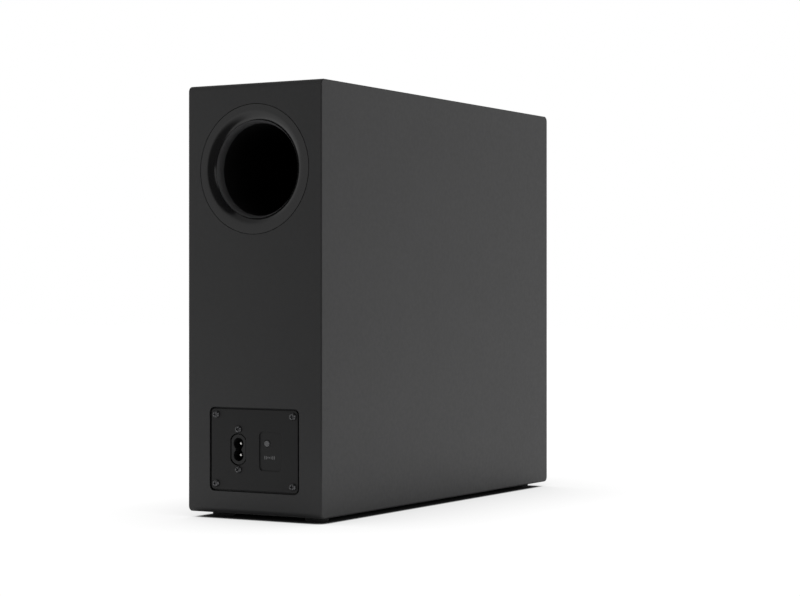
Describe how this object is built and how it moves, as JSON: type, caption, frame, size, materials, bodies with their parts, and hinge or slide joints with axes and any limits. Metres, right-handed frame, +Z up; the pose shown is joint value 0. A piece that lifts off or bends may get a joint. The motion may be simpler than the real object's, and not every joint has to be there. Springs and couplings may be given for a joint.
{
  "type": "wireless subwoofer of a soundbar system",
  "caption": "Slim floor-standing bass cabinet of a soundbar system: round reflex port and connector plate with mains inlet and pairing button behind, woofer firing from one side.",
  "frame": {"origin": "centre of the footprint at floor level, the feet standing on z = 0", "axes": "+Z up; +Y out of the rear face with the port and the connector plate; +X out of the side with the woofer grille; the front faces -Y"},
  "size_m": [0.12, 0.3743, 0.327],
  "materials": {
    "cabinet_film": "matte dark grey film over fibreboard",
    "satin_plastic": "black, satin, fine moulded texture",
    "black_plastic": "black, matte",
    "grey_plastic": "mid grey, satin",
    "black_steel": "black, satin",
    "bright_metal": "nickel plated",
    "zinc_steel": "zinc plated",
    "aluminium": "plain, satin",
    "rubber": "black, matte",
    "raw_board": "bare fibreboard",
    "paper_cone": "black pressed paper pulp",
    "ferrite": "dark grey, matte",
    "circuit": "green solder mask",
    "copper": "enamelled copper wire",
    "fibre": "loose polyester wadding",
    "lead_sheath": "dark grey lead sheath"
  },
  "bodies": {
    "cabinet": {"side_board_plain": "cabinet_film", "side_board_woofer": "cabinet_film", "top_board": "cabinet_film", "bottom_board": "cabinet_film", "front_board": "cabinet_film", "rear_board": "cabinet_film", "inner_brace": "raw_board", "damping_pad": "fibre", "foot_rear_plain": "rubber", "foot_rear_woofer": "rubber", "foot_front_woofer": "rubber", "foot_front_plain": "rubber", "port_flange": "satin_plastic", "port_tube": "black_plastic", "port_inner_flare": "black_plastic", "connector_plate": "satin_plastic", "plate_gasket": "rubber", "plate_screw_1": "black_steel", "plate_screw_2": "black_steel", "plate_screw_3": "black_steel", "plate_screw_4": "black_steel", "mains_inlet": "black_plastic", "inlet_pin_upper": "bright_metal", "inlet_screw_upper": "black_steel", "inlet_pin_lower": "bright_metal", "inlet_screw_lower": "black_steel", "pair_switch": "zinc_steel", "button_board": "circuit", "amp_tray": "aluminium", "amp_board": "circuit", "transformer": "ferrite", "mains_capacitor": "black_plastic", "output_capacitor": "black_plastic", "heatsink": "aluminium", "output_choke": "copper", "radio_module": "zinc_steel", "speaker_socket": "grey_plastic", "inlet_lead": "lead_sheath", "woofer_lead": "lead_sheath", "woofer_ring": "raw_board", "woofer_gasket": "rubber", "woofer_basket": "black_steel", "surround": "rubber", "spider": "fibre", "top_plate": "zinc_steel", "magnet": "ferrite", "back_plate": "zinc_steel", "terminal_strip": "grey_plastic", "woofer_screw_1": "black_steel", "woofer_screw_2": "black_steel", "woofer_screw_3": "black_steel", "woofer_screw_4": "black_steel", "grille_frame": "black_plastic", "grille": "black_steel"},
    "button": {"pair_button": "grey_plastic", "switch_plunger": "black_plastic"},
    "diaphragm": {"cone": "paper_cone", "dust_cap": "paper_cone", "voice_coil": "copper"}
  },
  "joints": [
    {"name": "pair_button_press", "type": "slide", "parent": "cabinet", "child": "button", "axis": [0, -1, 0], "range_m": [0, 0.0006], "stiffness_N_per_m": 1500},
    {"name": "woofer_excursion", "type": "slide", "parent": "cabinet", "child": "diaphragm", "axis": [1, 0, 0], "range_m": [-0.005, 0.005], "stiffness_N_per_m": 1250, "deforming": ["surround", "spider"]}
  ]
}
